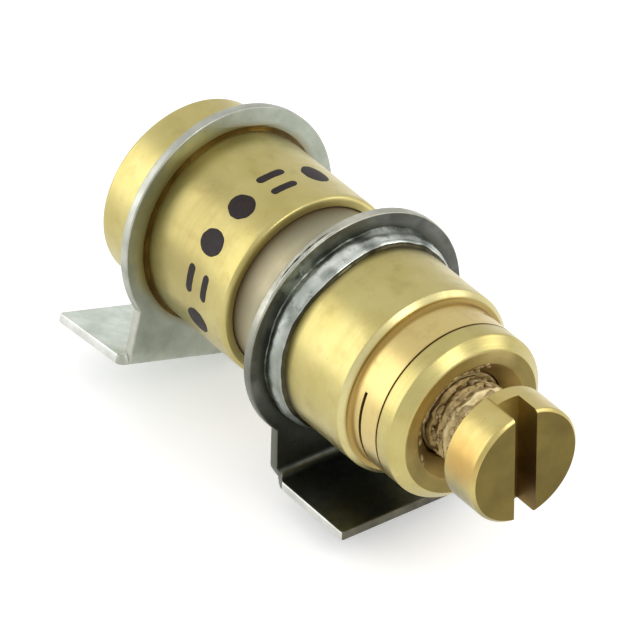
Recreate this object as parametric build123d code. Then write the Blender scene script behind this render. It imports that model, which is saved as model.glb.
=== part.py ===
"""Tubular piston trimmer capacitor for surface mounting.

A brass stator sleeve and a brass bushing are joined end to end by a ceramic
dielectric tube. A slotted screw in the bushing drives a piston along the
bore of the tube, which changes how far the piston reaches under the stator
sleeve, and so the capacitance. Two folded ring terminals carry the part on
the board. The rear one was soldered on turned and leaning, as far as the play
round the sleeve let it.

Every piece is drawn about the X axis first. X is then the distance in
millimetres from the rear face of the stator sleeve, called a station below,
and the screw head points to +X. At the end all pieces are moved together,
so that the lowest corner of the feet is at Z = 0 and the origin is under the
middle of the part.
"""

import os
from math import cos, radians, sin

from build123d import *

# Stator sleeve, a closed brass cup over the rear of the tube
stator_radius = 3.175
stator_length = 6.45
stator_wall = 0.355
stator_end_wall = 0.80
stator_rear_chamfer = 0.12
stator_lip_round = 0.16

# Ceramic tube, the dielectric
tube_wall = 0.50
tube_length = 9.50
tube_seat_clearance = 0.02

# Bushing, turned from one brass bar
barrel_undersize = 0.025
barrel_length = 3.85
barrel_edge_chamfer = 0.18
tube_seat_depth = 1.75
neck_step = 0.35
neck_length = 2.24
neck_root_round = 0.14
collar_chamfer = 0.36
countersink_width = 0.50
countersink_depth = 0.45
thread_clearance = 0.05
thread_length = 1.84
guide_wall = 0.28

# Saw cuts that make the neck a spring, so that the thread grips the screw
rear_cut_width = 0.14
front_cut_width = 0.11
rear_cut_from_barrel = 0.48
front_cut_from_barrel = 1.29
cut_web = 1.08
cut_turn = 15.0

# Ring terminals, both folded from the same blank
sheet_thickness = 0.33
ring_play = 0.095
ring_width = 0.69
strap_width = 5.74
foot_length = 3.72
foot_drop = 4.76
bend_inner_radius = 0.32
bend_notch_depth = 0.18
rear_terminal_turn = -16.0
rear_terminal_lean = -4.1
rear_terminal_station = 2.03

# Solder. The bulge of a bead, or the hollow of a fillet, is a share of its length
front_solder_length = 0.68
front_solder_width = 0.12
front_solder_bulge = 0.13
tube_solder_length = 0.46
tube_solder_width = 0.31
tube_solder_hollow = 0.08
rear_solder_length = 0.34
rear_solder_width = 0.33
rear_solder_depth = 0.18
rear_solder_hollow = 0.10
rear_solder_root = 0.175

# Screw
screw_clearance = 0.10
screw_thread_length = 6.00
shank_step = 0.22
spigot_share_of_shank = 2 / 3
head_step = 0.53
head_length = 1.40
head_edge_chamfer = 0.09
driver_slot_width = 0.80
driver_slot_depth = 0.90
driver_slot_turn = 2.0

# Travel of the screw and the piston from the drawn place, and the gaps left at its ends
travel_in = 1.19
travel_out = 2.08
head_end_gap = 0.06
piston_rear_end_gap = 0.30
piston_front_end_gap = 0.28
guide_end_gap = 0.23
key_end_gap = 0.13

# Piston, held on the spigot of the screw by a clip, so that it slides and does not turn
piston_clearance = 0.03
piston_wall = 0.42
piston_guide_clearance = 0.05
piston_recess_depth = 0.45
piston_recess_step = 0.35
piston_end_wall = 0.55
spigot_clearance = 0.05

# Key pin of the piston, which runs in the slot of the guide
key_radius = 0.30
key_from_front = 0.45
key_reach = 0.20
key_slot_clearance = 0.03
key_slot_depth = 0.80

# Washers and clip on the spigot
spring_washer_height = 0.25
spring_washer_sheet = 0.10
spring_washer_clearance = 0.02
thrust_washer_thickness = 0.12
thrust_washer_clearance = 0.20
clip_thickness = 0.18
clip_clearance = 0.35
clip_groove_share_of_spigot = 0.75
clip_groove_clearance = 0.02
clip_mouth_angle = 70.0
spigot_end_gap = 0.03

# Radii that follow, from the sleeve inwards
seat_radius = stator_radius - stator_wall
tube_radius = seat_radius - tube_seat_clearance
tube_bore_radius = tube_radius - tube_wall
barrel_radius = stator_radius - barrel_undersize
neck_radius = barrel_radius - neck_step
ring_bore_radius = stator_radius + ring_play
ring_radius = ring_bore_radius + ring_width
piston_radius = tube_bore_radius - piston_clearance
piston_bore_radius = piston_radius - piston_wall
guide_radius = piston_bore_radius - piston_guide_clearance
guide_bore_radius = guide_radius - guide_wall
screw_radius = guide_bore_radius - screw_clearance
thread_bore_radius = screw_radius + thread_clearance
countersink_radius = thread_bore_radius + countersink_width
head_radius = screw_radius + head_step
shank_radius = screw_radius - shank_step
spigot_radius = shank_radius * spigot_share_of_shank
spigot_hole_radius = spigot_radius + spigot_clearance
clip_groove_radius = spigot_radius * clip_groove_share_of_spigot
piston_recess_radius = piston_bore_radius - piston_recess_step
thrust_washer_radius = piston_recess_radius - thrust_washer_clearance
clip_radius = piston_recess_radius - clip_clearance
spring_washer_radius = guide_bore_radius - spring_washer_clearance

# Places that follow from the sizes above
tube_rear = stator_end_wall
tube_front = tube_rear + tube_length
bushing_rear = tube_front - tube_seat_depth
barrel_front = bushing_rear + barrel_length
collar_front = barrel_front + neck_length
thread_front = collar_front - countersink_depth
thread_rear = thread_front - thread_length
head_rear = collar_front + travel_in + head_end_gap
head_front = head_rear + head_length
screw_thread_rear = head_rear - screw_thread_length
piston_rear = tube_rear + travel_in + piston_rear_end_gap
piston_front = tube_front - travel_out - piston_front_end_gap
piston_wall_rear = piston_rear + piston_recess_depth
piston_wall_front = piston_wall_rear + piston_end_wall
guide_rear = piston_wall_front + travel_out + guide_end_gap
spigot_front = piston_wall_front + spring_washer_height
spigot_rear = piston_rear + spigot_end_gap
clip_front = piston_wall_rear - thrust_washer_thickness
clip_rear = clip_front - clip_thickness
key_station = piston_front - key_from_front
key_slot_front = key_station + key_radius + travel_out + key_end_gap
front_terminal_station = bushing_rear


def turned(*points):
    """A solid turned about the X axis from straight cuts through (station, radius) points."""
    return revolve(make_face(Polyline(*points, close=True)), Axis.X)


def ring(rear, front, inner, outer):
    """A plain ring from one station to another."""
    return turned((rear, inner), (front, inner), (front, outer), (rear, outer))


def rod(rear, front, radius):
    """A plain cylinder from one station to another."""
    return turned((rear, 0), (front, 0), (front, radius), (rear, radius))


def stator_sleeve():
    """The rear cup: its mouth has a rounded lip, which stands out round the ceramic."""
    rear_edge = stator_radius - stator_rear_chamfer
    lip_start = stator_length - stator_lip_round
    lip_face_radius = stator_radius - stator_lip_round
    lip_middle = stator_lip_round * sin(radians(45))
    profile = [
        Polyline(
            (stator_length, lip_face_radius),
            (stator_length, seat_radius),
            (tube_rear, seat_radius),
            (tube_rear, 0),
            (0, 0),
            (0, rear_edge),
            (stator_rear_chamfer, stator_radius),
            (lip_start, stator_radius),
        ),
        ThreePointArc(
            (lip_start, stator_radius),
            (lip_start + lip_middle, lip_face_radius + lip_middle),
            (stator_length, lip_face_radius),
        ),
    ]
    return revolve(make_face(profile), Axis.X)


def dielectric_tube():
    """The ceramic tube, which shows between the sleeve and the front terminal."""
    return ring(tube_rear, tube_front, tube_bore_radius, tube_radius)


def saw_cut(station, width, turn):
    """A cut across the neck that leaves a web on the far side from where the saw came in."""
    reach = neck_radius + barrel_radius
    deepest = neck_radius - cut_web
    height = reach + deepest
    blade = Box(width, 2 * reach, height)
    return Rot(turn, 0, 0) * Pos(station, 0, deepest - height / 2) * blade


def bushing():
    """The front body: tube seat, guide for the piston, thread, and the slit neck with its collar."""
    round_start = barrel_front + neck_root_round
    round_middle = neck_root_round * (1 - sin(radians(45)))
    chamfer_start = collar_front - collar_chamfer
    profile = [
        Polyline(
            (round_start, neck_radius),
            (chamfer_start, neck_radius),
            (collar_front, neck_radius - collar_chamfer),
            (collar_front, countersink_radius),
            (thread_front, thread_bore_radius),
            (thread_rear, thread_bore_radius),
            (thread_rear, guide_bore_radius),
            (guide_rear, guide_bore_radius),
            (guide_rear, guide_radius),
            (tube_front, guide_radius),
            (tube_front, seat_radius),
            (bushing_rear, seat_radius),
            (bushing_rear, barrel_radius),
            (barrel_front - barrel_edge_chamfer, barrel_radius),
            (barrel_front, barrel_radius - barrel_edge_chamfer),
            (barrel_front, neck_radius + neck_root_round),
        ),
        ThreePointArc(
            (barrel_front, neck_radius + neck_root_round),
            (barrel_front + round_middle, neck_radius + round_middle),
            (round_start, neck_radius),
        ),
    ]
    body = revolve(make_face(profile), Axis.X)
    rear_cut = saw_cut(barrel_front + rear_cut_from_barrel, rear_cut_width, cut_turn)
    front_cut = saw_cut(barrel_front + front_cut_from_barrel, front_cut_width, cut_turn + 180)
    slot_half_width = key_radius + key_slot_clearance
    slot_length = key_slot_front - guide_rear
    key_slot = Pos(guide_rear + slot_length / 2, 0, guide_radius) * Box(
        slot_length, 2 * slot_half_width, key_slot_depth
    )
    return body - rear_cut - front_cut - key_slot


def terminal():
    """A ring with a strap folded to a foot. The ring starts at X = 0 and the foot points to +X."""
    bend_outer_radius = bend_inner_radius + sheet_thickness

    def on_bend(radius, angle):
        return (
            bend_outer_radius + radius * cos(radians(angle)),
            bend_outer_radius - foot_drop + radius * sin(radians(angle)),
        )

    def bend(radius):
        return ThreePointArc(on_bend(radius, 180), on_bend(radius, 225), on_bend(radius, 270))

    strip = [
        Polyline(
            on_bend(bend_inner_radius, 180),
            (sheet_thickness, 0),
            (0, 0),
            on_bend(bend_outer_radius, 180),
        ),
        bend(bend_outer_radius),
        Polyline(
            on_bend(bend_outer_radius, 270),
            (foot_length, -foot_drop),
            (foot_length, sheet_thickness - foot_drop),
            on_bend(bend_inner_radius, 270),
        ),
        bend(bend_inner_radius),
    ]
    strap = extrude(Plane.XZ * make_face(strip), strap_width / 2, both=True)
    notch = Pos(bend_outer_radius / 2, 0, bend_outer_radius / 2 - foot_drop) * Box(
        bend_outer_radius, 2 * bend_notch_depth, bend_outer_radius
    )
    notches = Pos(0, strap_width / 2, 0) * notch + Pos(0, -strap_width / 2, 0) * notch
    washer = rod(0, sheet_thickness, ring_radius)
    return strap - notches + washer - rod(0, sheet_thickness, ring_bore_radius)


def front_terminal():
    """The terminal of the bushing, with its foot under the barrel."""
    return Pos(front_terminal_station, 0, 0) * terminal()


def on_rear_terminal(shape):
    """Places a shape that is drawn about the rear terminal's ring, whose front face is at X = 0."""
    turned_place = Rot(rear_terminal_turn, 0, 0) * Rot(0, rear_terminal_lean, 0)
    return Pos(rear_terminal_station + sheet_thickness, 0, 0) * turned_place * shape


def rear_terminal():
    """The terminal of the stator sleeve, with its foot behind it."""
    return on_rear_terminal(Rot(0, 0, 180) * terminal())


def fillet_line(wide, narrow, wide_radius, narrow_radius, hollow):
    """The outside of solder from its wide end to where it runs out: a bulge is a negative hollow."""
    middle = ((wide + narrow) / 2, (wide_radius + narrow_radius) / 2)
    sag = hollow * abs(wide - narrow)
    side = 1 if narrow > wide else -1
    return ThreePointArc(
        (wide, wide_radius),
        (middle[0] - side * sag, middle[1] - sag),
        (narrow, narrow_radius),
    )


def front_solder_fillet():
    """Solder between the front terminal and the barrel: it fills the ring's bore and stands as a bead."""
    ring_front = front_terminal_station + sheet_thickness
    outer = fillet_line(
        ring_front,
        ring_front + front_solder_length,
        ring_bore_radius + front_solder_width,
        barrel_radius,
        -front_solder_bulge,
    )
    inner = Polyline(
        (ring_front + front_solder_length, barrel_radius),
        (front_terminal_station, barrel_radius),
        (front_terminal_station, ring_bore_radius),
        (ring_front, ring_bore_radius),
        (ring_front, ring_bore_radius + front_solder_width),
    )
    return revolve(make_face([outer, inner]), Axis.X)


def tube_solder_fillet():
    """Solder that seals the ceramic tube to the end of the bushing, behind the front terminal."""
    outer = fillet_line(
        bushing_rear,
        bushing_rear - tube_solder_length,
        barrel_radius + tube_solder_width,
        tube_radius,
        tube_solder_hollow,
    )
    inner = Polyline(
        (bushing_rear - tube_solder_length, tube_radius),
        (bushing_rear, tube_radius),
        (bushing_rear, barrel_radius + tube_solder_width),
    )
    return revolve(make_face([outer, inner]), Axis.X)


def rear_solder_fillet():
    """Solder behind the rear terminal, which leans with it and runs part of the way into its bore."""
    ring_rear = -sheet_thickness
    root_radius = stator_radius - rear_solder_root
    outer = fillet_line(
        ring_rear,
        ring_rear - rear_solder_length,
        ring_bore_radius + rear_solder_width,
        root_radius,
        rear_solder_hollow,
    )
    inner = Polyline(
        (ring_rear - rear_solder_length, root_radius),
        (ring_rear + rear_solder_depth, root_radius),
        (ring_rear + rear_solder_depth, ring_bore_radius),
        (ring_rear, ring_bore_radius),
        (ring_rear, ring_bore_radius + rear_solder_width),
    )
    fillet = on_rear_terminal(revolve(make_face([outer, inner]), Axis.X))
    return fillet - rod(0, stator_length, stator_radius)


def adjusting_screw():
    """The slotted screw: head, thread, plain shank, and the spigot that carries the piston."""
    groove_front = clip_front + clip_groove_clearance
    groove_rear = clip_rear - clip_groove_clearance
    body = turned(
        (spigot_rear, 0),
        (spigot_rear, spigot_radius),
        (groove_rear, spigot_radius),
        (groove_rear, clip_groove_radius),
        (groove_front, clip_groove_radius),
        (groove_front, spigot_radius),
        (spigot_front, spigot_radius),
        (spigot_front, shank_radius),
        (screw_thread_rear, shank_radius),
        (screw_thread_rear, screw_radius),
        (head_rear, screw_radius),
        (head_rear, head_radius),
        (head_front - head_edge_chamfer, head_radius),
        (head_front, head_radius - head_edge_chamfer),
        (head_front, 0),
    )
    driver_slot = Pos(head_front, 0, 0) * Box(
        2 * driver_slot_depth, driver_slot_width, 2 * head_radius + driver_slot_width
    )
    return body - Rot(driver_slot_turn, 0, 0) * driver_slot


def piston():
    """The hollow piston: open to the front over the guide, with a recess behind for the clip."""
    shell = turned(
        (piston_rear, piston_recess_radius),
        (piston_rear, piston_radius),
        (piston_front, piston_radius),
        (piston_front, piston_bore_radius),
        (piston_wall_front, piston_bore_radius),
        (piston_wall_front, spigot_hole_radius),
        (piston_wall_rear, spigot_hole_radius),
        (piston_wall_rear, piston_recess_radius),
    )
    pin_hole = Pos(key_station, 0, piston_bore_radius) * Cylinder(key_radius, piston_radius)
    return shell - pin_hole


def piston_key_pin():
    """The radial pin that keeps the piston from turning."""
    tip = guide_radius - key_reach
    top = piston_radius - piston_clearance
    return Pos(key_station, 0, (tip + top) / 2) * Cylinder(key_radius, top - tip)


def spring_washer():
    """A cone spring between the shoulder of the shank and the piston, which takes up the play."""
    rise = spring_washer_height - spring_washer_sheet
    return turned(
        (piston_wall_front, spring_washer_radius),
        (piston_wall_front + spring_washer_sheet, spring_washer_radius),
        (piston_wall_front + spring_washer_height, spigot_hole_radius),
        (piston_wall_front + rise, spigot_hole_radius),
    )


def thrust_washer():
    """The flat washer between the clip and the piston."""
    return ring(clip_front, piston_wall_rear, spigot_hole_radius, thrust_washer_radius)


def retaining_clip():
    """The open clip in the groove at the end of the spigot."""
    mouth_reach = 2 * clip_radius
    half_mouth = mouth_reach * sin(radians(clip_mouth_angle / 2))
    mouth = Pos((clip_rear + clip_front) / 2, 0, 0) * extrude(
        Plane.YZ
        * make_face(
            Polyline((0, 0), (half_mouth, -mouth_reach), (-half_mouth, -mouth_reach), close=True)
        ),
        clip_thickness,
        both=True,
    )
    return ring(clip_rear, clip_front, clip_groove_radius, clip_radius) - mouth


pieces = {
    "stator_sleeve": stator_sleeve(),
    "rear_terminal": rear_terminal(),
    "rear_solder_fillet": rear_solder_fillet(),
    "dielectric_tube": dielectric_tube(),
    "tube_solder_fillet": tube_solder_fillet(),
    "front_terminal": front_terminal(),
    "front_solder_fillet": front_solder_fillet(),
    "bushing": bushing(),
    "adjusting_screw": adjusting_screw(),
    "retaining_clip": retaining_clip(),
    "thrust_washer": thrust_washer(),
    "spring_washer": spring_washer(),
    "piston": piston(),
    "piston_key_pin": piston_key_pin(),
}

os.makedirs("parts", exist_ok=True)
boxes = [solid.bounding_box() for solid in pieces.values()]
rear_end = min(box.min.X for box in boxes)
front_end = max(box.max.X for box in boxes)
lowest = min(box.min.Z for box in boxes)
to_board = Pos(-(rear_end + front_end) / 2, 0, -lowest)
for name, solid in pieces.items():
    export_step(to_board * solid, f"parts/{name}.step")
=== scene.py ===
"""Looks of a tubular piston trimmer capacitor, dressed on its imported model."""

import math
from itertools import product

import bmesh
import bpy
import numpy as np
from mathutils import Matrix, Vector, noise


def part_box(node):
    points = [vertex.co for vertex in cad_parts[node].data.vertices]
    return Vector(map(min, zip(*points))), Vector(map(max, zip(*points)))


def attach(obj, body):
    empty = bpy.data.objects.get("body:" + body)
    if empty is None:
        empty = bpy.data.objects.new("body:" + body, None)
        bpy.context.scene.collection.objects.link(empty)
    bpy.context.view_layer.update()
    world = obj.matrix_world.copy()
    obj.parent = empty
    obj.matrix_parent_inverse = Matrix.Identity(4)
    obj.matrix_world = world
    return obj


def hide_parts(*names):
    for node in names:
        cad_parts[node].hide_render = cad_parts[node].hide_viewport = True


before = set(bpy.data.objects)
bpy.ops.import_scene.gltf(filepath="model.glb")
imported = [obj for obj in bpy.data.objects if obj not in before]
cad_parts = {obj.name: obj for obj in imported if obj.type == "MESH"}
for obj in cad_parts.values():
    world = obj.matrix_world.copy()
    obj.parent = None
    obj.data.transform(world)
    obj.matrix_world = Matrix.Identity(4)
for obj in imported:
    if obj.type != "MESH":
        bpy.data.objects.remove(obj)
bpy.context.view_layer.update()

MM = 0.001


def span(node):
    """Rear end, front end and outer radius of a round node, in millimetres."""
    low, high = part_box(node)
    return low[0] / MM, high[0] / MM, (high[1] - low[1]) / 2 / MM


# Places and sizes read from the frame, in millimetres
sleeve_rear, sleeve_front, sleeve_radius = span("stator_sleeve")
tube_rear, tube_front, tube_radius = span("dielectric_tube")
guide_rear, collar_front, barrel_radius = span("bushing")
spigot_rear, head_front, head_radius = span("adjusting_screw")
front_ring_rear, front_foot_tip, ring_radius = span("front_terminal")
_, fillet_front, fillet_radius = span("front_solder_fillet")
seal_rear, seal_front, seal_radius = span("tube_solder_fillet")
axis_height = (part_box("stator_sleeve")[0][2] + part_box("stator_sleeve")[1][2]) / 2 / MM
foot_drop = axis_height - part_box("front_terminal")[0][2] / MM
foot_length = front_foot_tip - front_ring_rear

# Sizes of the construction that no box gives, in millimetres
SHEET = 0.33
STRAP_WIDTH = 5.74
RING_BORE = 3.27
BEND_RADIUS = 0.32
NOTCH_DEPTH = 0.18
REAR_RING = 2.03
REAR_TURN = math.radians(-16.0)
REAR_LEAN = math.radians(-4.1)
REAR_SOLDER_RADIUS = 3.60
REAR_SOLDER_LENGTH = 0.34
SEAT_RADIUS = 2.82
TUBE_BORE = 2.30
NECK_RADIUS = 2.80
NECK_LENGTH = 2.24
BARREL_CHAMFER = 0.18
COLLAR_CHAMFER = 0.36
COUNTERSINK_RADIUS = 1.97
COUNTERSINK_DEPTH = 0.45
THREAD_BORE = 1.47
THREAD_LENGTH = 1.84
GUIDE_RADIUS = 1.80
GUIDE_BORE = 1.52
SLEEVE_END_WALL = 0.80
CUT_WEB = 1.08
CUT_TURN = math.radians(15.0)
KEY_SLOT_WIDTH = 0.66
KEY_SLOT_END = 0.30
SCREW_RADIUS = 1.42
SHANK_RADIUS = 1.20
SPIGOT_RADIUS = 0.80
GROOVE_RADIUS = 0.60
HEAD_LENGTH = 1.40
HEAD_CHAMFER = 0.10
SCREW_THREAD_LENGTH = 6.00
SLOT_WIDTH = 0.80
SLOT_DEPTH = 0.90
SLOT_TURN = math.radians(2.0)
THREAD_PITCH = 0.397
THREAD_DEPTH = 0.13
BORE_THREAD_DEPTH = 0.15
RING_TRIM = 0.004
EDGE_ROUNDING = 0.06

# Each saw cut's station from the barrel and its width, in millimetres
REAR_CUT = (0.48, 0.12)
FRONT_CUT = (1.29, 0.06)

barrel_front = collar_front - NECK_LENGTH
front_cut = barrel_front + FRONT_CUT[0]
ring_front = front_ring_rear + SHEET
head_rear = head_front - HEAD_LENGTH
bend_outer = BEND_RADIUS + SHEET
bend_neutral = BEND_RADIUS + SHEET / 2
bend_length = math.pi / 2 * bend_neutral
bend_top = -foot_drop + bend_outer

# Shape of a thread's groove over one pitch: a wave of this height and slope, cut off at 0 and 1
GROOVE_WAVE = 1.15
GROOVE_SLOPE = 3.2

# Dried grease on the screw's neck: its rear end, its radius, how far its surface is sunk,
# and the height and the closeness of its lumps and of its grains
grease_rear = collar_front - 0.5
GREASE_RADIUS = 1.4
GREASE_SUNK = 0.07
GREASE_LUMPS = (0.09, 2.4)
GREASE_GRAINS = (0.03, 7.0)

# Smaller than any size of the part, in millimetres
TINY = 1e-6

# Points closer than this become one: in metres, and in millimetres on the flat blank
WELD_GAP = 1e-8
INK_GAP = 1e-9
BLANK_GAP = 1e-4

# Points round the axis, and the angles past which an edge stays sharp
AROUND = 256
SMOOTH_ANGLE = math.radians(28.0)
SHEET_ANGLE = math.radians(35.0)
SOLDER_ANGLE = math.radians(60.0)
BEAD_ANGLE = math.radians(70.0)
CRUMB_ANGLE = math.radians(80.0)


def new_object(name, mesh):
    """An object at the origin that holds the mesh."""
    piece = bpy.data.objects.new(name, mesh)
    bpy.context.scene.collection.objects.link(piece)
    return piece


def soften(points, closed=True, steps=4):
    """Rounds each (x, r, size) corner of a profile, with a holding point beside each round."""
    out = []
    count = len(points)
    for i, (x, r, size) in enumerate(points):
        here = Vector((x, r))
        ends = not closed and i in (0, count - 1)
        if size <= 0 or ends:
            out.append((x, r))
            continue
        back = Vector(points[i - 1][:2]) - here
        ahead = Vector(points[(i + 1) % count][:2]) - here
        start = here + back.normalized() * size
        end = here + ahead.normalized() * size
        hold = 0.25 * size
        if back.length > 2.6 * size:
            out.append(tuple(start + back.normalized() * hold))
        for k in range(steps + 1):
            t = k / steps
            out.append(tuple(start.lerp(here, t).lerp(here.lerp(end, t), t)))
        if ahead.length > 2.6 * size:
            out.append(tuple(end + ahead.normalized() * hold))
    return out


def on_part(x, radius, angle):
    """A point in metres, from its station and radius in millimetres and its angle about the axis."""
    return x * MM, radius * math.cos(angle) * MM, (axis_height + radius * math.sin(angle)) * MM


def new_shell(name, vertices, faces, gap=WELD_GAP):
    """An object from vertices and faces, with doubles merged and faces outwards."""
    mesh = bpy.data.meshes.new(name)
    mesh.from_pydata(vertices, [], faces)
    weld(mesh, gap)
    return new_object(name, mesh)


def lathe(name, profile, closed=True, around=AROUND, relief=None):
    """A turned shape about the part's axis, from (x, r) points in millimetres.

    relief(x, angles, radius) may give other radii, for threads and uneven solder.
    """
    angles = np.arange(around) * 2 * math.pi / around
    vertices = []
    rings = []
    for x, r in profile:
        if r <= TINY:
            rings.append([len(vertices)])
            vertices.append(on_part(x, 0.0, 0.0))
            continue
        radii = np.full(around, r) if relief is None else relief(x, angles, r)
        rings.append(list(range(len(vertices), len(vertices) + around)))
        vertices += [on_part(x, radius, angle) for angle, radius in zip(angles, radii)]
    faces = []
    last = len(rings) if closed else len(rings) - 1
    for i in range(last):
        a, b = rings[i], rings[(i + 1) % len(rings)]
        if len(a) == 1 and len(b) == 1:
            continue
        for k in range(around):
            n = (k + 1) % around
            if len(a) == 1:
                faces.append((a[0], b[n], b[k]))
            elif len(b) == 1:
                faces.append((a[k], a[n], b[0]))
            else:
                faces.append((a[k], a[n], b[n], b[k]))
    return new_shell(name, vertices, faces)


def weld(mesh, gap):
    """Merges doubles and turns the faces outwards."""
    work = bmesh.new()
    work.from_mesh(mesh)
    bmesh.ops.remove_doubles(work, verts=work.verts, dist=gap)
    bmesh.ops.recalc_face_normals(work, faces=work.faces)
    work.to_mesh(mesh)
    work.free()


def box(name, low, high):
    """A box between two corners, in millimetres about the part's axis."""
    vertices = [(x * MM, y * MM, (z + axis_height) * MM) for x, y, z in product(*zip(low, high))]
    faces = [(0, 1, 3, 2), (4, 6, 7, 5), (0, 4, 5, 1), (2, 3, 7, 6), (0, 2, 6, 4), (1, 5, 7, 3)]
    return new_shell(name, vertices, faces)


def turn(piece, angle):
    """Turns a mesh about the part's axis, in place."""
    centre = Matrix.Translation((0, 0, axis_height * MM))
    piece.data.transform(centre @ Matrix.Rotation(angle, 4, "X") @ centre.inverted())
    return piece


def plain_mesh(holder):
    """The mesh that an object's modifiers or curve come to."""
    graph = bpy.context.evaluated_depsgraph_get()
    return bpy.data.meshes.new_from_object(holder.evaluated_get(graph))


def cut_away(piece, tool):
    """Cuts a tool out of a piece, then deletes the tool."""
    modifier = piece.modifiers.new("cut", "BOOLEAN")
    modifier.operation = "DIFFERENCE"
    modifier.solver = "EXACT"
    modifier.object = tool
    mesh = plain_mesh(piece)
    piece.modifiers.clear()
    piece.data = mesh
    bpy.data.objects.remove(tool)


def smooth(piece, angle=SMOOTH_ANGLE):
    """Smooth shading, with edges sharper than the angle kept sharp."""
    piece.data.polygons.foreach_set("use_smooth", [True] * len(piece.data.polygons))
    piece.data.set_sharp_from_angle(angle=angle)
    return piece


def mark_faces(piece, choose):
    """Gives each face the material number that choose picks from its centre and normal.

    choose(x, radius, y, z, normal) has the centre in millimetres about the axis.
    """
    for polygon in piece.data.polygons:
        x, y, z = polygon.center / MM
        z -= axis_height
        polygon.material_index = choose(x, math.hypot(y, z), y, z, polygon.normal)


def finish_piece(piece, body, slot, materials, *nodes):
    """Gives a piece its materials and its body, and hides the nodes it stands for; the slot is not used.
    """
    for material in materials:
        piece.data.materials.append(material)
    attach(piece, body)
    if nodes:
        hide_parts(*nodes)


# Materials


class Wiring:
    """A short way to write a node tree."""

    def __init__(self, tree):
        self.tree = tree

    def add(self, kind, values=None, **settings):
        """A node with its settings, and with numbers or links on its inputs."""
        node = self.tree.nodes.new(kind)
        for key, value in settings.items():
            setattr(node, key, value)
        for key, value in (values or {}).items():
            self.put(node.inputs[key], value)
        return node

    def put(self, socket, value):
        """Links an output to a socket, or sets its number."""
        if isinstance(value, bpy.types.NodeSocket):
            self.tree.links.new(value, socket)
        else:
            socket.default_value = value

    def math(self, operation, a, b=0.0):
        """The result of a math node."""
        return self.add("ShaderNodeMath", {0: a, 1: b}, operation=operation).outputs[0]


class Nodes(Wiring):
    """The node tree of a new material."""

    def __init__(self, name):
        self.material = bpy.data.materials.new(name)
        self.material.use_nodes = True
        super().__init__(self.material.node_tree)
        self.shader = self.tree.nodes["Principled BSDF"]

    def place(self):
        """Position in millimetres about the part's axis."""
        where = self.add("ShaderNodeTexCoord").outputs["Object"]
        shifted = self.add(
            "ShaderNodeVectorMath",
            {0: where, 1: (0.0, 0.0, -axis_height * MM)},
            operation="ADD",
        )
        scaled = self.add("ShaderNodeVectorMath", {0: shifted.outputs[0]}, operation="SCALE")
        scaled.inputs["Scale"].default_value = 1 / MM
        return scaled.outputs[0]

    def height(self, place):
        """Height above the part's axis."""
        return self.add("ShaderNodeSeparateXYZ", {0: place}).outputs[2]

    def turned(self, place):
        """Station along the axis, distance from it, and both as a vector for turning marks."""
        parts = self.add("ShaderNodeSeparateXYZ", {0: place})
        y2 = self.math("MULTIPLY", parts.outputs[1], parts.outputs[1])
        z2 = self.math("MULTIPLY", parts.outputs[2], parts.outputs[2])
        radius = self.math("SQRT", self.math("ADD", y2, z2))
        both = self.add("ShaderNodeCombineXYZ", {0: parts.outputs[0], 1: radius})
        return parts.outputs[0], radius, both.outputs[0]

    def smeared(self, place, along, around):
        """A vector for marks that are drawn out round the axis: long around, short along it."""
        parts = self.add("ShaderNodeSeparateXYZ", {0: place})
        station, radius, _ = self.turned(place)
        angle = self.math("ARCTAN2", parts.outputs[2], parts.outputs[1])
        scaled = {
            0: self.math("MULTIPLY", station, along),
            1: self.math("MULTIPLY", radius, along),
            2: self.math("MULTIPLY", self.math("ABSOLUTE", angle), around),
        }
        return self.add("ShaderNodeCombineXYZ", scaled).outputs[0]

    def noise(self, vector, scale, detail=2.0, roughness=0.5, kind="3D"):
        """A noise value from 0 to 1."""
        node = self.add(
            "ShaderNodeTexNoise",
            {"Vector": vector, "Scale": scale, "Detail": detail, "Roughness": roughness},
            noise_dimensions=kind,
        )
        return node.outputs[0]

    def remap(self, value, low, high, to_low=0.0, to_high=1.0, smooth_step=False):
        """A value mapped from one range to another and held there."""
        node = self.add(
            "ShaderNodeMapRange",
            {0: value, 1: low, 2: high, 3: to_low, 4: to_high},
            interpolation_type="SMOOTHSTEP" if smooth_step else "LINEAR",
        )
        return node.outputs[0]

    def mix(self, share, a, b):
        """A colour between two."""
        node = self.add("ShaderNodeMix", data_type="RGBA", clamp_factor=True)
        self.put(node.inputs[0], share)
        self.put(node.inputs[6], a)
        self.put(node.inputs[7], b)
        return node.outputs[2]

    def near(self, place, centre, reach):
        """0.9 near a place on the part, falling to 0 about its reach, with a ragged edge."""
        away = self.add("ShaderNodeVectorMath", {0: place, 1: centre}, operation="DISTANCE").outputs[1]
        ragged = self.math("ADD", away, self.math("MULTIPLY", self.noise(place, 1.2, 3.0), 0.6 * reach))
        return self.remap(ragged, 0.6 * reach, 1.35 * reach, 0.9, 0.0, smooth_step=True)

    def bump(self, height, strength, depth, under=None):
        """A normal from a height, on top of another normal."""
        node = self.add("ShaderNodeBump", {"Height": height, "Strength": strength, "Distance": depth})
        if under is not None:
            self.put(node.inputs["Normal"], under)
        return node.outputs[0]

    def surface(self, colour, roughness, normal, metallic=0.0):
        """Gives the shader its finish, and returns the finished material."""
        self.put(self.shader.inputs["Base Color"], colour)
        self.put(self.shader.inputs["Roughness"], roughness)
        self.shader.inputs["Metallic"].default_value = metallic
        if normal is not None:
            self.put(self.shader.inputs["Normal"], normal)
        return self.material


def rgb(red, green, blue):
    """A colour written as on screen, from 0 to 255, for a shader."""

    def linear(value):
        share = value / 255
        return share / 12.92 if share <= 0.04045 else ((share + 0.055) / 1.055) ** 2.4

    return (linear(red), linear(green), linear(blue), 1.0)


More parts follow.
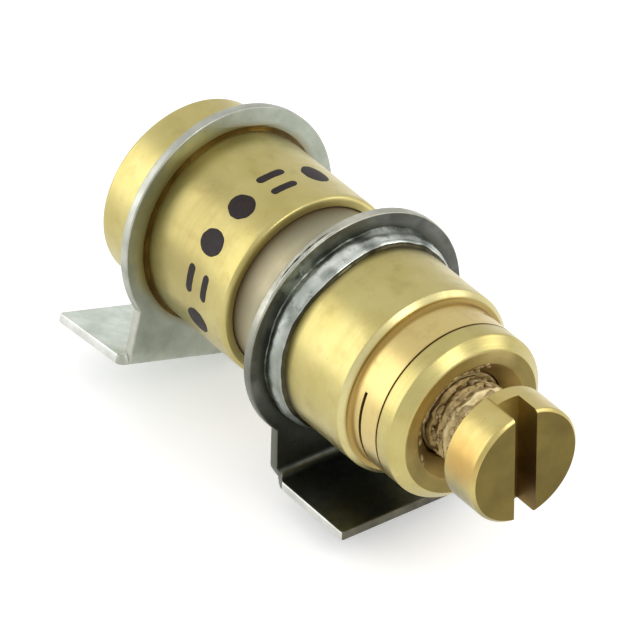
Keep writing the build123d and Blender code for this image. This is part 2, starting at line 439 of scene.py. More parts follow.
# Colours of the finishes
BRASS_LIGHT = rgb(190, 178, 118)
BRASS_DARK = rgb(178, 165, 102)
TARNISH = rgb(138, 112, 62)
BRASS_SPECK = rgb(110, 92, 52)
NECK_WARM = rgb(206, 184, 122)
# Painted shade in the fillet at the root of the neck
ROOT_PAINTED_SHADE = rgb(142, 110, 48)
RING_SHADE = rgb(126, 104, 44)
CUT_SHADE = rgb(130, 100, 44)
# Painted shade and reflection of the solder bead's dark front end, on the barrel
BEAD_SHADE = rgb(68, 61, 24)
# Painted highlight on the rounded front end of the sleeve's lip
LIP_PAINTED_HIGHLIGHT = rgb(232, 216, 146)
# Painted highlight on the barrel's front chamfer
CHAMFER_PAINTED_HIGHLIGHT = rgb(222, 214, 166)
TIN_PIT = rgb(90, 90, 84)
SOLDER_LIGHT = rgb(212, 217, 209)
SOLDER_DARK = rgb(164, 170, 162)
SOLDER_GREY = rgb(90, 95, 90)
CERAMIC_LIGHT = rgb(208, 198, 160)
CERAMIC_DARK = rgb(196, 184, 146)
# Painted shade on the ceramic above and below, and its painted shadow at the sleeve's lip
CERAMIC_TOP_SHADE = rgb(146, 141, 112)
CERAMIC_LOW_SHADE = rgb(166, 157, 124)
CERAMIC_LIP_SHADOW = rgb(66, 50, 22)
CERAMIC_SPECK = rgb(112, 100, 76)
INK_DARK = rgb(30, 19, 20)
INK_THIN = rgb(46, 33, 28)
GREASE_PALE = rgb(198, 178, 132)
GREASE_TAN = rgb(162, 140, 90)
GREASE_BROWN = rgb(134, 108, 66)


def turned_brass(name, light, dark, roughness, groove=0.35, tarnish=0.25, bands=(), spots=()):
    """Turned brass: fine rings from the tool, soft blotches, small dark specks, bands and spots.

    A band is its rear end, front end, blur, colour and share, a spot its place, reach and colour.
    """
    n = Nodes(name)
    place = n.place()
    station, _, lines = n.turned(place)
    blotch = n.noise(place, 0.8, 3.0)
    fine = n.noise(lines, 38.0, 2.0, kind="2D")
    streak = n.noise(lines, 9.0, 3.0, 0.6, kind="2D")
    colour = n.mix(n.remap(blotch, 0.35, 0.7), light, dark)
    for rear, front, blur, tint, share in bands:
        rise = n.remap(station, rear - blur, rear + blur, smooth_step=True)
        fall = n.remap(station, front - blur, front + blur, 1.0, 0.0, smooth_step=True)
        band = n.math("MULTIPLY", n.math("MULTIPLY", rise, fall), share)
        colour = n.mix(band, colour, tint)
    for centre, reach, tint in spots:
        colour = n.mix(n.near(place, centre, reach), colour, tint)
    darkening = n.remap(n.noise(place, 1.7, 5.0, 0.6), 0.54, 0.78, 0.0, tarnish)
    colour = n.mix(darkening, colour, TARNISH)
    speck = n.remap(n.noise(place, 14.0, 2.0), 0.70, 0.76, 0.0, 0.4)
    colour = n.mix(speck, colour, BRASS_SPECK)
    rough = n.remap(streak, 0.3, 0.7, roughness - 0.04, roughness + 0.05)
    rough = n.math("ADD", rough, n.math("MULTIPLY", darkening, 0.3))
    rings = n.bump(fine, groove, 0.004 * MM)
    waves = n.bump(streak, groove, 0.008 * MM, rings)
    return n.surface(colour, rough, waves, metallic=1.0)


def tinned(name, light, dark, roughness, grain=0.3, darkening=None, painted_shade_side=None, smears=()):
    """Tin plated sheet: rolled grain, clouds and pits.

    A darkening towards the bore is its reach from the axis and its colour, and a smear of solder is
    its place, reach and colour. The painted shade side colour lies low down and towards -Y.
    """
    n = Nodes(name)
    place = n.place()
    cloud = n.noise(place, 1.1, 4.0, 0.6)
    fine = n.noise(place, 22.0, 3.0, 0.6)
    colour = n.mix(n.remap(cloud, 0.35, 0.65), light, dark)
    colour = n.mix(n.remap(fine, 0.62, 0.72, 0.0, 0.25), colour, TIN_PIT)
    # Painted shade, low down and towards -Y
    if painted_shade_side is not None:
        slant = {0: place, 1: (0.0, 0.5, 1.0)}
        side = n.add("ShaderNodeVectorMath", slant, operation="DOT_PRODUCT").outputs[1]
        colour = n.mix(n.remap(side, -3.5, 2.2, 1.0, 0.0, smooth_step=True), colour, painted_shade_side)
    if darkening is not None:
        reach, tint = darkening
        wavering = n.math("MULTIPLY", n.math("SUBTRACT", cloud, 0.5), 0.5)
        radius = n.math("ADD", n.turned(place)[1], wavering)
        colour = n.mix(n.remap(radius, reach - 0.22, reach + 0.10, 0.85, 0.0), colour, tint)
    for centre, reach, tint in smears:
        torn = n.remap(n.noise(place, 3.0, 3.0, 0.6), 0.36, 0.52)
        colour = n.mix(n.math("MULTIPLY", n.near(place, centre, reach), torn), colour, tint)
    rough = n.remap(cloud, 0.3, 0.7, roughness - 0.06, roughness + 0.08)
    return n.surface(colour, rough, n.bump(fine, grain, 0.006 * MM), metallic=1.0)


def solder(name, light, dark, flux, skirt=None):
    """Solder drawn out round the joint, with streaks of flux.

    The skirt colour is painted shade, where the solder meets the front ring and low down.
    """
    n = Nodes(name)
    place = n.place()
    drawn = n.noise(n.smeared(place, 1.6, 1.9), 1.0, 3.0, 0.5)
    wide = n.noise(n.smeared(place, 0.6, 2.4), 1.0, 2.0, 0.5)
    fine = n.noise(place, 4.0, 4.0, 0.6)
    colour = n.mix(n.remap(drawn, 0.40, 0.62), light, dark)
    colour = n.mix(n.remap(wide, 0.50, 0.62, 0.0, 0.9), colour, flux)
    colour = n.mix(n.remap(fine, 0.56, 0.70, 0.0, 0.5), colour, flux)
    if skirt is not None:
        # Painted shade where the solder meets the front ring, and low down
        ring_crease_shade = n.remap(n.turned(place)[0], ring_front + 0.12, ring_front + 0.34, 0.85, 0.0)
        torn = n.remap(n.noise(place, 2.4, 3.0, 0.6), 0.34, 0.56)
        colour = n.mix(n.math("MULTIPLY", ring_crease_shade, torn), colour, skirt)
        low = n.remap(n.height(place), 0.2, 2.4, 0.7, 0.0, smooth_step=True)
        colour = n.mix(low, colour, skirt)
    rough = n.remap(drawn, 0.35, 0.65, 0.24, 0.42)
    return n.surface(colour, rough, n.bump(fine, 0.3, 0.02 * MM), metallic=1.0)


def ceramic(name):
    """Fired ceramic: warm, matt and faintly mottled, with painted shade above and below
    and a painted shadow at the sleeve's lip.
    """
    n = Nodes(name)
    place = n.place()
    cloud = n.noise(place, 1.6, 4.0)
    fine = n.noise(place, 26.0, 3.0, 0.6)
    height = n.height(place)
    colour = n.mix(n.remap(cloud, 0.35, 0.65), CERAMIC_LIGHT, CERAMIC_DARK)
    # Painted shade above and below, and a painted shadow of the sleeve's lip
    colour = n.mix(n.remap(height, 2.1, 2.85, smooth_step=True), colour, CERAMIC_TOP_SHADE)
    colour = n.mix(n.remap(height, 0.7, 1.8, 1.0, 0.0, smooth_step=True), colour, CERAMIC_LOW_SHADE)
    lip = n.remap(n.turned(place)[0], sleeve_front + 0.05, sleeve_front + 0.85, 0.9, 0.0)
    colour = n.mix(lip, colour, CERAMIC_LIP_SHADOW)
    colour = n.mix(n.remap(fine, 0.6, 0.75, 0.0, 0.3), colour, CERAMIC_SPECK)
    return n.surface(colour, n.remap(fine, 0.3, 0.7, 0.5, 0.64), n.bump(fine, 0.2, 0.008 * MM))


def ink(name):
    """Marking ink, dull and nearly black, with thin places."""
    n = Nodes(name)
    thin = n.noise(n.place(), 5.0, 4.0, 0.6)
    n.shader.inputs["Specular IOR Level"].default_value = 0.25
    colour = n.mix(n.remap(thin, 0.5, 0.75), INK_DARK, INK_THIN)
    return n.surface(colour, n.remap(thin, 0.3, 0.7, 0.45, 0.6), None)


def residue(name):
    """Dried thread grease, from pale tan to brown."""
    n = Nodes(name)
    place = n.place()
    cloud = n.noise(place, 3.0, 2.0, 0.6)
    fine = n.noise(place, 12.0, 2.0, 0.5)
    colour = n.mix(n.remap(cloud, 0.38, 0.62), GREASE_PALE, GREASE_TAN)
    colour = n.mix(n.remap(fine, 0.58, 0.72, 0.0, 0.3), colour, GREASE_BROWN)
    return n.surface(colour, n.remap(cloud, 0.3, 0.7, 0.40, 0.65), n.bump(fine, 0.3, 0.02 * MM))


# The sleeve's bands and spot are painted: shade beside the rear ring, a highlight on the lip, and a spot
# of shade that dims the highlight on its middle.
SLEEVE_BRASS = turned_brass(
    "sleeve_brass", BRASS_LIGHT, BRASS_DARK, roughness=0.32,
    bands=[
        (sleeve_rear + 2.1, sleeve_rear + 2.75, 0.32, RING_SHADE, 0.6),
        (sleeve_front - 0.02, sleeve_front + 0.2, 0.015, LIP_PAINTED_HIGHLIGHT, 0.8),
    ],
    spots=[((-4.0, -2.78, 1.54), 2.6, rgb(158, 146, 94))],
)
# Apart from the warmer neck, the barrel's bands are painted: shade at the neck's root, a highlight on the
# chamfer, the shade and reflection of the solder bead, and shade beside the front saw cut.
BUSHING_BRASS = turned_brass(
    "bushing_brass", BRASS_LIGHT, BRASS_DARK, roughness=0.31,
    bands=[
        (barrel_front + 0.02, front_cut, 0.03, NECK_WARM, 0.8),
        (barrel_front - 0.02, barrel_front + 0.17, 0.07, ROOT_PAINTED_SHADE, 0.8),
        (barrel_front - BARREL_CHAMFER, barrel_front - 0.02, 0.03, CHAMFER_PAINTED_HIGHLIGHT, 0.35),
        (fillet_front - 0.5, fillet_front + 0.20, 0.19, BEAD_SHADE, 0.95),
        (front_cut - 0.05, front_cut + 0.05, 0.04, CUT_SHADE, 0.5),
    ],
)
# The head's and the collar's forward end faces are darker copies of the brass: painted shade for the dark
# they reflect. The collar face's two lighter spots are a painted reflection of the screw head.
HEAD_END_PAINTED_SHADE = turned_brass(
    "head_face_brass", rgb(116, 101, 50), rgb(97, 83, 39), roughness=0.40, groove=0.5, tarnish=0.3
)
COLLAR_END_SHADE_AND_REFLECTION = turned_brass(
    "collar_face_brass", rgb(138, 123, 70), rgb(122, 107, 60), roughness=0.42, groove=0.4, tarnish=0.3,
    spots=[
        ((collar_front, -1.8, 1.5), 2.4, rgb(204, 178, 108)),
        ((collar_front, 0.0, 2.4), 1.9, rgb(190, 172, 112)),
    ],
)
CONE_BRASS = turned_brass(
    "countersink_brass", rgb(174, 150, 88), rgb(150, 126, 70), roughness=0.5, groove=0.4, tarnish=0.3
)
# Dried grease on the screw's neck; the darker band where the neck goes into the collar is painted shade
GREASE_AND_PAINTED_SHADE = turned_brass(
    "greased_brass", rgb(220, 204, 160), rgb(184, 164, 116), roughness=0.54, groove=0.3, tarnish=0.5,
    bands=[(collar_front - 0.6, collar_front + 0.25, 0.3, rgb(132, 104, 48), 0.7)],
)
# On the side of the head, the warm spot is a painted reflection and the grey spot low down is painted
# shade
SCREW_BRASS = turned_brass(
    "screw_brass", rgb(196, 180, 116), rgb(176, 158, 94), roughness=0.31,
    spots=[
        ((head_rear + 0.66, -1.86, 0.50), 1.05, rgb(182, 149, 86)),
        ((head_rear + 0.70, -1.60, -1.25), 1.6, rgb(142, 135, 97)),
    ],
)
# The slot's walls are a darker copy of the brass, painted shade, and the lighter spot at its far end is
# painted light
SLOT_PAINTED_SHADE = turned_brass(
    "slot_brass", rgb(132, 108, 56), rgb(96, 74, 36), roughness=0.45, groove=0.2, tarnish=0.2,
    spots=[((head_front - 0.9, 0.0, 1.9), 1.5, rgb(168, 146, 80))],
)
PISTON_BRASS = turned_brass(
    "piston_brass", rgb(206, 188, 120), rgb(190, 172, 104), roughness=0.26
)
REAR_EDGE = tinned("rear_edge_tin", rgb(178, 179, 168), rgb(156, 158, 146), roughness=0.36)
FOOT_FACE = tinned("foot_face_tin", rgb(211, 218, 207), rgb(186, 194, 184), roughness=0.34)
# A darker copy of the tin for the rear terminal's faces towards the front: painted shade, darker and
# browner towards the bore.
STRAP_TIN_PAINTED_SHADE = tinned(
    "strap_face_tin", rgb(172, 177, 163), rgb(154, 160, 146), roughness=0.34,
    darkening=(RING_BORE + 0.16, rgb(124, 108, 62)),
)
# The front ring's cut edge, with painted shade low down and towards -Y
FRONT_EDGE = tinned(
    "front_edge_tin", rgb(188, 187, 172), rgb(146, 145, 132), roughness=0.34, grain=0.5,
    painted_shade_side=rgb(100, 102, 92),
)
# Lighter and darker copies of the tin for the feet: painted light on both feet's sides and the rear
# foot's tip, painted shade on the front foot's tip.
TIN_EDGE_PAINTED_LIGHT = tinned("bright_edge_tin", rgb(214, 215, 209), rgb(190, 192, 186), roughness=0.34)
TIN_EDGE_PAINTED_SHADE = tinned("dark_edge_tin", rgb(108, 106, 94), rgb(82, 80, 70), roughness=0.36)
# The front terminal's faces are a darker copy of the tin, painted shade for the dark they reflect, with
# more painted shade towards the bore beside the bead; the lighter patch is a smear of solder.
FRONT_TIN_PAINTED_SHADE = tinned(
    "darkened_face", rgb(104, 106, 100), rgb(76, 78, 72), roughness=0.32,
    darkening=(fillet_radius + 0.16, rgb(56, 58, 44)),
    smears=[((ring_front, -2.35, 2.75), 0.95, rgb(158, 162, 148))],
)
BRIGHT_SOLDER = solder("solder_bright", SOLDER_LIGHT, SOLDER_DARK, SOLDER_GREY)
# The bead's skirt colour is painted shade
BEAD_SOLDER = solder("bead_solder", SOLDER_LIGHT, SOLDER_DARK, SOLDER_GREY, skirt=rgb(118, 123, 114))
# Dark solder: painted shade on the bead's steep front end, and the painted shadow behind the burr
SOLDER_PAINTED_SHADE = solder("solder_crust", rgb(74, 70, 50), rgb(54, 50, 34), rgb(44, 38, 22))
# A brown ring in the gap at the rear ring: painted shade
GAP_PAINTED_SHADE = solder("flux_residue", rgb(86, 66, 24), rgb(66, 48, 14), rgb(50, 36, 8))
CERAMIC = ceramic("tube_ceramic")
INK = ink("marking_ink")
RESIDUE = residue("thread_residue")
SPRING_STEEL = tinned("spring_steel", rgb(150, 150, 146), rgb(126, 126, 122), roughness=0.28)


# Pieces


def make_sleeve():
    """The stator sleeve, a cup with a rounded lip round the ceramic."""
    profile = soften([
        (sleeve_rear, 0.0, 0.0),
        (sleeve_rear, sleeve_radius, 0.12),
        (sleeve_front, sleeve_radius, 0.17),
        (sleeve_front, SEAT_RADIUS, 0.03),
        (sleeve_rear + SLEEVE_END_WALL, SEAT_RADIUS, 0.0),
        (sleeve_rear + SLEEVE_END_WALL, 0.0, 0.0),
    ], closed=False, steps=6)
    piece = smooth(lathe("sleeve", profile, closed=False))
    finish_piece(piece, "housing", "sleeve_brass", [SLEEVE_BRASS], "stator_sleeve")


def make_tube():
    """The ceramic tube."""
    profile = soften([
        (tube_rear, TUBE_BORE, 0.04),
        (tube_rear, tube_radius, 0.04),
        (tube_front, tube_radius, 0.04),
        (tube_front, TUBE_BORE, 0.04),
    ])
    piece = smooth(lathe("ceramic_tube", profile))
    finish_piece(piece, "housing", "tube_ceramic", [CERAMIC], "dielectric_tube")


def thread_relief(start, end, crest, depth, inner=False):
    """A relief that cuts a helical thread between two stations."""
    runout = 0.7 * THREAD_PITCH

    def relief(x, angles, r):
        if not start <= x <= end or abs(r - crest) > TINY:
            return np.full(len(angles), r)
        phase = (x / THREAD_PITCH - angles / (2 * math.pi)) % 1.0
        groove = np.clip(GROOVE_WAVE - np.abs(phase - 0.5) * GROOVE_SLOPE, 0.0, 1.0)
        cut = depth * groove * min(1.0, (x - start) / runout, (end - x) / runout)
        return r + cut if inner else r - cut

    return relief


def thread_stations(start, end, radius, per_turn=12):
    """Profile points along a thread, close enough to show its flanks."""
    count = int((end - start) / THREAD_PITCH * per_turn)
    return [(start + (end - start) * i / count, radius) for i in range(count + 1)]


def cut_slab(cut, turn_angle):
    """The slab that a saw cut takes out of the neck."""
    offset, width = cut
    station = barrel_front + offset
    reach = NECK_RADIUS + barrel_radius
    low = (station - width / 2, -reach, -reach)
    high = (station + width / 2, reach, NECK_RADIUS - CUT_WEB)
    return turn(box("cut", low, high), turn_angle)


def make_bushing():
    """The bushing: barrel, slit neck, collar, threaded bore and guide."""
    thread_front = collar_front - COUNTERSINK_DEPTH
    thread_rear = thread_front - THREAD_LENGTH
    outer = soften([
        (tube_front, SEAT_RADIUS, 0.0),
        (front_ring_rear, SEAT_RADIUS, 0.0),
        (front_ring_rear, barrel_radius, 0.03),
        (barrel_front - BARREL_CHAMFER, barrel_radius, 0.03),
        (barrel_front, barrel_radius - BARREL_CHAMFER, 0.02),
        (barrel_front, NECK_RADIUS, 0.14),
        (collar_front - COLLAR_CHAMFER, NECK_RADIUS, 0.05),
        (collar_front, NECK_RADIUS - COLLAR_CHAMFER, 0.05),
        (collar_front, COUNTERSINK_RADIUS, 0.04),
        (thread_front, THREAD_BORE, 0.0),
    ], closed=False)
    bore = thread_stations(thread_rear, thread_front, THREAD_BORE, 10)[::-1][1:]
    inner = [
        (thread_rear, GUIDE_BORE),
        (guide_rear, GUIDE_BORE),
        (guide_rear, GUIDE_RADIUS),
        (tube_front, GUIDE_RADIUS),
    ]
    relief = thread_relief(thread_rear, thread_front, THREAD_BORE, BORE_THREAD_DEPTH, inner=True)
    piece = lathe("bushing_body", outer + bore + inner, relief=relief)
    cut_away(piece, cut_slab(REAR_CUT, CUT_TURN))
    cut_away(piece, cut_slab(FRONT_CUT, CUT_TURN + math.pi))
    key_slot = box(
        "slot",
        (guide_rear - 0.5, -KEY_SLOT_WIDTH / 2, GUIDE_RADIUS - 0.4),
        (tube_front - KEY_SLOT_END, KEY_SLOT_WIDTH / 2, GUIDE_RADIUS + 0.4),
    )
    cut_away(piece, key_slot)
    smooth(piece)

    def pick(x, radius, y, z, normal):
        if x > thread_rear and radius < COUNTERSINK_RADIUS + 0.02:
            return 2
        return 1 if x > collar_front - 0.1 and normal.x > 0.9 else 0

    mark_faces(piece, pick)
    materials = [BUSHING_BRASS, COLLAR_END_SHADE_AND_REFLECTION, CONE_BRASS]
    finish_piece(piece, "housing", "bushing_brass", materials, "bushing")


def make_screw():
    """The adjusting screw with its thread and driver slot."""
    thread_rear = head_rear - SCREW_THREAD_LENGTH
    spigot_front, groove_front, groove_rear = spigot_places()
    rear = soften([
        (spigot_rear, 0.0, 0.0),
        (spigot_rear, SPIGOT_RADIUS, 0.05),
        (groove_rear, SPIGOT_RADIUS, 0.0),
        (groove_rear, GROOVE_RADIUS, 0.0),
        (groove_front, GROOVE_RADIUS, 0.0),
        (groove_front, SPIGOT_RADIUS, 0.0),
        (spigot_front, SPIGOT_RADIUS, 0.0),
        (spigot_front, SHANK_RADIUS, 0.04),
        (thread_rear, SHANK_RADIUS, 0.0),
    ], closed=False)
    thread = thread_stations(thread_rear, head_rear, SCREW_RADIUS)
    head = soften([
        (head_rear, SCREW_RADIUS, 0.0),
        (head_rear, head_radius, 0.04),
        (head_front - HEAD_CHAMFER, head_radius, 0.05),
        (head_front, head_radius - HEAD_CHAMFER, 0.03),
        (head_front, 0.0, 0.0),
    ], closed=False)
    thread_cut = thread_relief(thread_rear, head_rear - 0.10, SCREW_RADIUS, THREAD_DEPTH)

    def relief(x, angles, r):
        """The thread, and forward of the collar the dried grease that covers it."""
        radii = thread_cut(x, angles, r)
        if not grease_rear < x < head_rear - 0.01:
            return radii
        radii = radii - GREASE_SUNK
        spots = [Vector((x, GREASE_RADIUS * math.cos(a), GREASE_RADIUS * math.sin(a))) for a in angles]
        for height, closeness in (GREASE_LUMPS, GREASE_GRAINS):
            radii = radii + height * np.array([noise.noise(spot * closeness) for spot in spots])
        return radii

    piece = lathe("slotted_screw", rear + thread + head[1:], closed=False, around=192, relief=relief)
    slot = box(
        "slot",
        (head_front - SLOT_DEPTH, -SLOT_WIDTH / 2, -2 * head_radius),
        (head_front + SLOT_DEPTH, SLOT_WIDTH / 2, 2 * head_radius),
    )
    cut_away(piece, turn(slot, SLOT_TURN))
    smooth(piece)

    def pick(x, radius, y, z, normal):
        if grease_rear - 0.1 < x < head_rear - 0.01:
            return 3
        offset = abs(y * math.cos(SLOT_TURN) + z * math.sin(SLOT_TURN))
        if offset < SLOT_WIDTH / 2 + 0.01 and head_front - SLOT_DEPTH - 0.01 < x < head_front - 0.001:
            return 2
        return 1 if x > head_front - 0.02 and normal.x > 0.95 else 0

    mark_faces(piece, pick)
    materials = [SCREW_BRASS, HEAD_END_PAINTED_SHADE, SLOT_PAINTED_SHADE, GREASE_AND_PAINTED_SHADE]
    finish_piece(piece, "screw", "screw_brass", materials, "adjusting_screw")


def spigot_places():
    """Stations of the spigot's front shoulder and of the two walls of its groove."""
    clip_rear, clip_front, _ = span("retaining_clip")
    washer_front = span("spring_washer")[1]
    return washer_front, clip_front + 0.02, clip_rear - 0.02


def blank_outline():
    """Outline of the flat blank, ring above and strap below, as (y, z) points."""
    half = STRAP_WIDTH / 2
    outer_radius = ring_radius - RING_TRIM
    join = math.atan2(-math.sqrt(outer_radius**2 - half**2), half)
    arc = []
    steps = 150
    for i in range(steps + 1):
        angle = join + (math.pi - 2 * join) * i / steps
        arc.append((outer_radius * math.cos(angle), outer_radius * math.sin(angle)))
    bend_bottom = bend_top - bend_length
    tip = bend_bottom - (foot_length - bend_outer)
    left = [(-half, bend_top + 0.06)]
    for i in range(9):
        share = i / 8
        rise = NOTCH_DEPTH * math.sin(math.pi * min(1.0, 1.6 * share, 1.6 * (1 - share)) / 2) ** 2
        left.append((-half + rise, bend_top + (bend_bottom - bend_top) * share))
    left += [(-half, bend_bottom - 0.06), (-half, tip + 0.10)]
    left += [(-half + 0.03, tip + 0.03), (-half + 0.10, tip)]
    right = [(-y, z) for y, z in reversed(left)]
    return arc + left + right


def bore_outline():
    """Outline of the hole in the blank's ring, as (y, z) points."""
    turns = np.linspace(0, 2 * math.pi, 161)[:-1]
    return [(RING_BORE * math.cos(a), RING_BORE * math.sin(a)) for a in turns]


def flat_blank(name):
    """The punched blank with its soft edges, upright and in millimetres, its rear face at x = 0."""
    curve = bpy.data.curves.new(name, "CURVE")
    curve.dimensions = "2D"
    curve.fill_mode = "BOTH"
    for outline in (blank_outline(), bore_outline()):
        spline = curve.splines.new("POLY")
        spline.points.add(len(outline) - 1)
        for point, (y, z) in zip(spline.points, outline):
            point.co = (y, z, 0, 1)
        spline.use_cyclic_u = True
    curve.extrude = SHEET / 2 - EDGE_ROUNDING
    curve.bevel_depth = EDGE_ROUNDING
    curve.bevel_resolution = 3
    curve.offset = -EDGE_ROUNDING
    holder = new_object(name, curve)
    mesh = plain_mesh(holder)
    bpy.data.objects.remove(holder)
    mesh.name = name
    mesh.materials.clear()
    upright = Matrix(((0, 0, 1, SHEET / 2), (1, 0, 0, 0), (0, 1, 0, 0), (0, 0, 0, 1)))
    mesh.transform(upright)
    weld(mesh, BLANK_GAP)
    return mesh


def fold(mesh):
    """Folds the flat blank to a quarter turn towards the front, below the bend line."""
    work = bmesh.new()
    work.from_mesh(mesh)
    steps = 12
    for i in range(steps + 1):
        place = (0, 0, bend_top - bend_length * i / steps)
        everything = work.verts[:] + work.edges[:] + work.faces[:]
        bmesh.ops.bisect_plane(work, geom=everything, dist=1e-5, plane_co=place, plane_no=(0, 0, 1))
    for vertex in work.verts:
        x, y, z = vertex.co
        if z >= bend_top:
            continue
        run = bend_top - z
        angle = min(run / bend_neutral, math.pi / 2)
        beyond = max(0.0, run - bend_length)
        vertex.co.x = bend_outer - (bend_outer - x) * math.cos(angle) + beyond
        vertex.co.z = bend_top - (bend_outer - x) * math.sin(angle)
    work.to_mesh(mesh)
    work.free()


def make_terminal(name, placing, node, materials):
    """A ring terminal, punched as a flat blank and then folded.

    The materials are for the ring's edge, the front face, the rear face, and the foot's sides and tip.
    """
    mesh = flat_blank(name)
    foot_start = -foot_drop - 0.1
    for polygon in mesh.polygons:
        if abs(polygon.normal.x) > 0.9:
            polygon.material_index = 1 if polygon.normal.x > 0 else 2
        elif polygon.center.z < foot_start:
            polygon.material_index = 3 if abs(polygon.normal.y) > 0.6 else 4
        else:
            polygon.material_index = 0
    fold(mesh)
    mesh.transform(Matrix.Scale(MM, 4))
    mesh.transform(placing)
    weld(mesh, WELD_GAP)
    piece = smooth(new_object(name, mesh), SHEET_ANGLE)
    finish_piece(piece, "housing", "tinned_sheet", materials, node)


def make_terminals():
    """The front terminal on the barrel, and the rear one that leans and is turned."""
    front = Matrix.Translation((front_ring_rear * MM, 0, axis_height * MM))
    finishes = [FRONT_EDGE, FRONT_TIN_PAINTED_SHADE, FRONT_TIN_PAINTED_SHADE, TIN_EDGE_PAINTED_LIGHT, TIN_EDGE_PAINTED_SHADE]
    make_terminal("front_ring_terminal", front, "front_terminal", finishes)
    rear = rear_placing() @ Matrix.Rotation(math.pi, 4, "Z")
    finishes = [REAR_EDGE, FOOT_FACE, STRAP_TIN_PAINTED_SHADE, TIN_EDGE_PAINTED_LIGHT, TIN_EDGE_PAINTED_LIGHT]
    make_terminal("rear_ring_terminal", rear, "rear_terminal", finishes)


def rear_placing():
    """Where the rear terminal's ring is: its front face is at x = 0 before this."""
    move = Matrix.Translation(((sleeve_rear + REAR_RING + SHEET) * MM, 0, axis_height * MM))
    return move @ Matrix.Rotation(REAR_TURN, 4, "X") @ Matrix.Rotation(REAR_LEAN, 4, "Y")


def uneven(amount, seed):
    """A relief that makes solder wander round the ring, in a few wide waves and some ripples."""
    generator = np.random.default_rng(seed)
    waves = []
    for k in (*range(2, 7), *range(9, 26, 3)):
        low, high, fall = (0.4, 1.0, k**0.7) if k < 9 else (0.2, 0.5, 1.0)
        size = generator.uniform(low, high) / fall
        waves.append((k, size, generator.uniform(0, 2 * math.pi)))

    def relief(x, angles, r):
        shift = sum(size * np.sin(k * angles + phase + 2.5 * x) for k, size, phase in waves)
        return r + amount * shift * 0.25

    return relief


def curl(controls, steps):
    """A closed smooth line through (x, r) controls."""
    count = len(controls)
    line = []
    for i in range(count):
        a, b, c, d = (np.array(controls[(i + k) % count]) for k in (-1, 0, 1, 2))
        cubic = -a + 3 * b - 3 * c + d
        square = 2 * a - 5 * b + 4 * c - d
        for k in range(steps):
            t = k / steps
            line.append(b + 0.5 * (cubic * t**3 + square * t**2 + (c - a) * t))
    return line


def solder_ring(name, section, painted_shade_span):
    """A lumpy ring of solder, whose section(angle) gives controls for a smooth line.

    The last argument gives the first and the last control of the dark part, which is painted shade.
    """
    around = 320
    steps = 4
    lump_height = 0.016
    vertices = []
    for k in range(around):
        angle = 2 * math.pi * k / around
        for x, r in curl(section(angle), steps):
            point = Vector((x, r * math.cos(angle), r * math.sin(angle)))
            lump = noise.noise(point * 2.2) * 1.6 + noise.noise(point * 6.0) * 0.7
            vertices.append(on_part(x, r + lump_height * lump, angle))
    size = len(vertices) // around
    faces = []
    for k in range(around):
        n = (k + 1) % around
        for i in range(size):
            j = (i + 1) % size
            faces.append((k * size + i, n * size + i, n * size + j, k * size + j))
    piece = new_shell(name, vertices, faces)
    for polygon in piece.data.polygons:
        control = polygon.index % size / steps
        polygon.material_index = 1 if painted_shade_span[0] <= control < painted_shade_span[1] else 0
    return smooth(piece, BEAD_ANGLE)


def wander(angle, seed, lobes=6):
    """A smooth value from about -1 to 1 that changes round the axis."""
    spot = Vector((math.cos(angle) * lobes / 4, math.sin(angle) * lobes / 4, seed * 7.3))
    return noise.noise(spot) * 1.6


def front_bead(angle):
    """Section of the bead between the front terminal and the barrel.

    Its skirt climbs the ring above towards +Y, and its front end runs out above towards -Y.
    """
    climb = math.exp(-(((angle - 1.2) / 0.5) ** 2))
    run = math.exp(-(((angle - 2.05) / 0.4) ** 2))
    skirt = fillet_radius - 0.03 + 0.08 * climb + 0.035 * wander(angle, 4, 12)
    crest = fillet_radius - 0.01 + 0.02 * wander(angle, 1)
    end = fillet_front - 0.035 + 0.03 * wander(angle, 2) + 0.12 * run
    return [
        (front_ring_rear + 0.04, barrel_radius - 0.02),
        (front_ring_rear + 0.04, RING_BORE - 0.01),
        (ring_front - 0.05, RING_BORE + 0.06),
        (ring_front - 0.02, skirt),
        (ring_front + 0.06, skirt - 0.02),
        (ring_front + 0.20, crest),
        (ring_front + 0.36, crest - 0.03),
        (ring_front + 0.48, crest - 0.08),
        (end - 0.08, barrel_radius + 0.13),
        (end - 0.025, barrel_radius + 0.06),
        (end, barrel_radius - 0.03),
        (ring_front + 0.20, barrel_radius - 0.04),
    ]


def ridge(name, first, last, section):
    """A ridge with tapered ends along part of a circle, from section(share) as x, r and half width."""
    vertices = []
    steps = 90
    sides = 10
    for k in range(steps + 1):
        share = k / steps
        angle = math.radians(first + (last - first) * share)
        x, r, half = section(share)
        half *= math.sin(math.pi * (0.02 + 0.96 * share)) ** 0.4
        for i in range(sides):
            a = 2 * math.pi * i / sides
            vertices.append(on_part(x + 0.7 * half * math.cos(a), r + half * math.sin(a), angle))
    faces = [tuple(range(sides)), tuple(range(steps * sides, (steps + 1) * sides))]
    for k in range(steps):
        for i in range(sides):
            j = (i + 1) % sides
            faces.append((k * sides + i, k * sides + j, (k + 1) * sides + j, (k + 1) * sides + i))
    return smooth(new_shell(name, vertices, faces), BEAD_ANGLE)


def burr(behind, inset, size, change, pace, seed):
    """A section for a ridge on the cut edge of the front ring, whose size wanders."""

    def section(share):
        half = size + change * noise.noise(Vector((share * pace, 0, seed)))
        return ring_front - behind, ring_radius - inset, half

    return section


